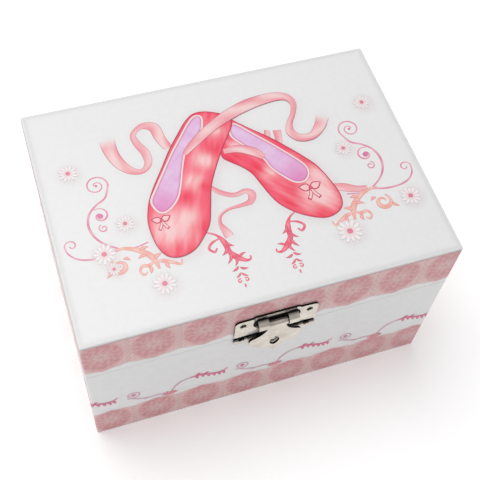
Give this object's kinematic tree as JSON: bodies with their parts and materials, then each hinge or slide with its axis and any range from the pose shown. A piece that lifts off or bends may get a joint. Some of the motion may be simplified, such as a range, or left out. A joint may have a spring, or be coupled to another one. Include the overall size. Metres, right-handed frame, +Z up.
{
  "type": "ballerina music and jewellery box",
  "caption": "Paper-covered music and jewellery box with a hinged lid, nickel clasp, winding key, velvet trays and a dancer who turns on a stage.",
  "frame": {"origin": "middle of the underside, on the surface that the box stands on", "axes": "+Z up, the clasp faces -Y, the winding key faces +Y, +X to the right seen from the front"},
  "size_m": [0.15, 0.1292, 0.088],
  "materials": {
    "printed_paper": "satin",
    "plain_paper": "matte",
    "lid_paper": "satin",
    "cardboard": "matte",
    "velvet": "velvet",
    "foam": "matte",
    "nickel": "polished",
    "steel": "satin",
    "spring_steel": "satin",
    "cast_zinc": "satin",
    "brass": "satin",
    "mirror_glass": "polished",
    "frame_plastic": "gloss",
    "white_plastic": "satin",
    "black_plastic": "satin",
    "doll_plastic": "satin",
    "tulle": "sheer"
  },
  "bodies": {
    "base": {"base_underside_sheet": "plain_paper", "base_floor_board": "cardboard", "base_side_boards": "cardboard", "base_paper_wrap": "printed_paper", "tray_lining": "velvet", "stage_wall_lining": "velvet", "stage_riser": "cardboard", "stage_ledges": "cardboard", "stage_board": "cardboard", "stage_velvet": "velvet", "tray_divider": "velvet", "tray_pad": "velvet", "ring_block": "foam", "ring_rolls": "velvet", "clasp_lower_plate": "nickel", "clasp_stud": "nickel", "base_nails": "nickel", "hinge_base_leaves": "nickel", "hinge_pins": "steel", "key_escutcheon": "nickel", "movement_bedplate": "cast_zinc", "movement_screws": "steel", "front_bearing": "brass", "middle_bearing": "brass", "back_bearing": "brass", "comb": "spring_steel", "governor_frame": "brass", "plunger_guide": "white_plastic", "plunger_spring": "steel", "plunger_bush": "brass", "spindle_bush": "brass"},
    "lid": {"lid_top_board": "cardboard", "lid_side_boards": "cardboard", "lid_paper_wrap": "printed_paper", "lid_lining": "lid_paper", "lid_mirror": "mirror_glass", "mirror_frame": "frame_plastic", "lid_press_block": "lid_paper", "clasp_upper_plate": "nickel", "clasp_pin": "steel", "lid_nails": "nickel", "hinge_lid_leaves": "nickel"},
    "clasp_flap": {"clasp_flap": "nickel"},
    "winding_key": {"winding_arbor": "steel", "winding_key": "nickel"},
    "tune_cylinder": {"tune_cylinder": "brass", "cylinder_pins": "steel", "cylinder_gear": "brass"},
    "spring_barrel": {"spring_barrel": "brass", "barrel_gear": "brass", "mainspring": "spring_steel"},
    "governor_wheel": {"governor_wheel": "brass"},
    "governor_fan": {"governor_worm": "steel", "governor_fan": "black_plastic"},
    "dancer": {"dancer_spindle": "steel", "dancer_spring": "steel", "dancer_figure": "doll_plastic", "dancer_tutu": "tulle"},
    "stop_plunger": {"stop_plunger": "steel"}
  },
  "joints": [
    {"name": "lid_open", "type": "hinge", "parent": "base", "child": "lid", "pos_m": [0, 0.0551, 0.062], "axis": [-1, 0, 0], "range_deg": [0, 100]},
    {"name": "clasp_flap_swing", "type": "hinge", "parent": "lid", "child": "clasp_flap", "pos_m": [0, -0.0557, 0.0713], "axis": [-1, 0, 0], "range_deg": [0, 150]},
    {"name": "key_wind", "type": "hinge", "parent": "base", "child": "winding_key", "pos_m": [0.017, 0.06, 0.02], "axis": [0, 1, 0], "continuous": true},
    {"name": "cylinder_spin", "type": "hinge", "parent": "base", "child": "tune_cylinder", "pos_m": [0, 0.02, 0.02], "axis": [0, 1, 0], "continuous": true},
    {"name": "barrel_spin", "type": "hinge", "parent": "base", "child": "spring_barrel", "pos_m": [0.017, 0.04, 0.02], "axis": [0, 1, 0], "continuous": true},
    {"name": "dancer_spin", "type": "hinge", "parent": "base", "child": "dancer", "pos_m": [0, 0.016, 0.04], "axis": [0, 0, 1], "continuous": true},
    {"name": "governor_wheel_spin", "type": "hinge", "parent": "base", "child": "governor_wheel", "pos_m": [0.01067, 0.005, 0.02], "axis": [0, 1, 0], "continuous": true},
    {"name": "fan_spin", "type": "hinge", "parent": "base", "child": "governor_fan", "pos_m": [0.01827, 0.0032, 0.03], "axis": [0, 0, 1], "continuous": true},
    {"name": "plunger_lift", "type": "slide", "parent": "base", "child": "stop_plunger", "axis": [0, 0, 1], "range_m": [0, 0.003], "deforming": ["plunger_spring"]}
  ],
  "couplings": [
    {"joint": "barrel_spin", "follows": "cylinder_spin", "ratio": -0.25926},
    {"joint": "dancer_spin", "follows": "cylinder_spin", "ratio": 1},
    {"joint": "governor_wheel_spin", "follows": "cylinder_spin", "ratio": -3},
    {"joint": "fan_spin", "follows": "cylinder_spin", "ratio": -90},
    {"joint": "plunger_lift", "follows": "lid_open", "m_per_rad": 0.0017}
  ]
}
